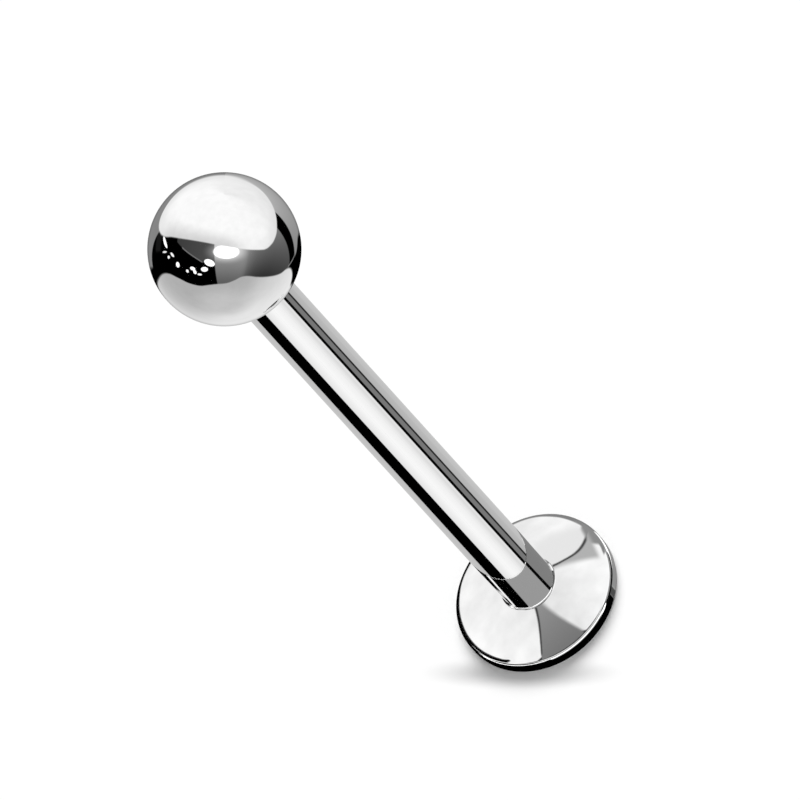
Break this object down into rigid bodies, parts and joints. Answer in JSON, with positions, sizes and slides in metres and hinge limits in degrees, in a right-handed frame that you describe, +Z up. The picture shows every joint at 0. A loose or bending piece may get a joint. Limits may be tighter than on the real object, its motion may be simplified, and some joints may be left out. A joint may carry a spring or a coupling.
{
  "type": "labret stud",
  "caption": "Push-in labret stud: a hollow straight post on a domed, flat-backed disc, and a ball top whose thin pin slides into the post.",
  "frame": {"origin": "centre of the disc's flat back face, on which the stud stands", "axes": "+Z runs up the post's axis from the disc to the ball; the stud is round about Z, so X and Y are any two square directions"},
  "size_m": [0.0036, 0.0036, 0.018],
  "materials": {
    "polished_steel": "mirror polished surgical steel"
  },
  "bodies": {
    "barrel": {"barrel": "polished_steel"},
    "ball_top": {"ball_top": "polished_steel"}
  },
  "joints": [
    {"name": "ball_top_slide", "type": "slide", "parent": "barrel", "child": "ball_top", "axis": [0, 0, 1], "range_m": [0, 0.008]}
  ]
}
